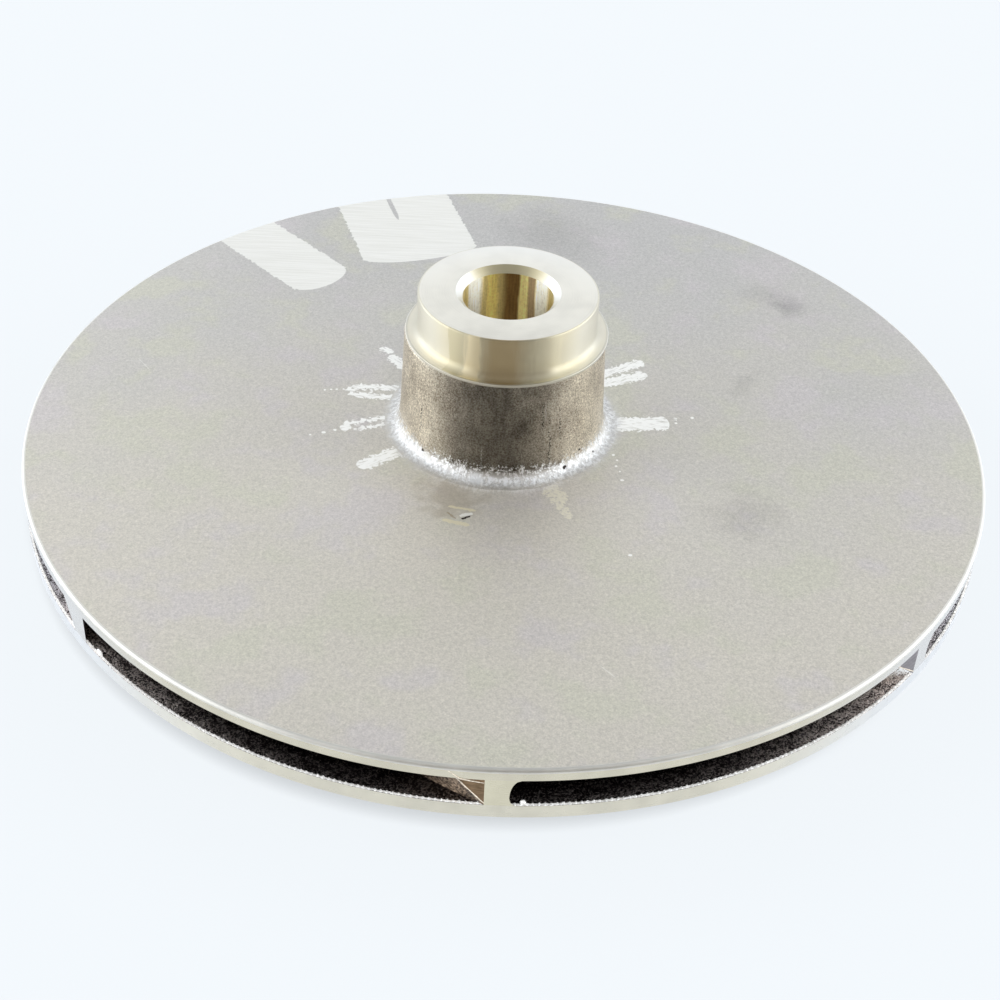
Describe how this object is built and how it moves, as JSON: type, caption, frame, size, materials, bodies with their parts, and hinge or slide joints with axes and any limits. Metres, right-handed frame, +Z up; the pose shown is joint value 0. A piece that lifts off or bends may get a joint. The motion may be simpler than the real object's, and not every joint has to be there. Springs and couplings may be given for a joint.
{
  "type": "closed centrifugal pump impeller",
  "caption": "Closed radial pump impeller: backward-curved vanes between two shrouds, an eye ring in front and a turned hub boss with a shaft bore behind.",
  "frame": {"origin": "on the shaft axis, in the plane of the eye ring's end face, which the impeller lies on", "axes": "+Z up the shaft axis from the eye to the hub's end; -Y through the tip of vane 1, within 1.3 degrees"},
  "size_m": [0.26, 0.26, 0.07],
  "materials": {
    "blasted_bronze": "cast skin blasted to a fine matt grain, rims turned bright, two places ground back for balance",
    "hub_bronze": "cast and ground boss under a turned spigot and bore",
    "turned_bronze": "turned bright",
    "passage_bronze": "rough sand-cast skin, tips turned with the rim and filed behind"
  },
  "bodies": {
    "root": {"hub": "hub_bronze", "back_shroud": "blasted_bronze", "front_shroud": "blasted_bronze", "eye_ring": "turned_bronze", "vane_1": "passage_bronze", "vane_2": "passage_bronze", "vane_3": "passage_bronze", "vane_4": "passage_bronze", "vane_5": "passage_bronze", "vane_6": "passage_bronze", "vane_7": "passage_bronze"}
  },
  "joints": []
}
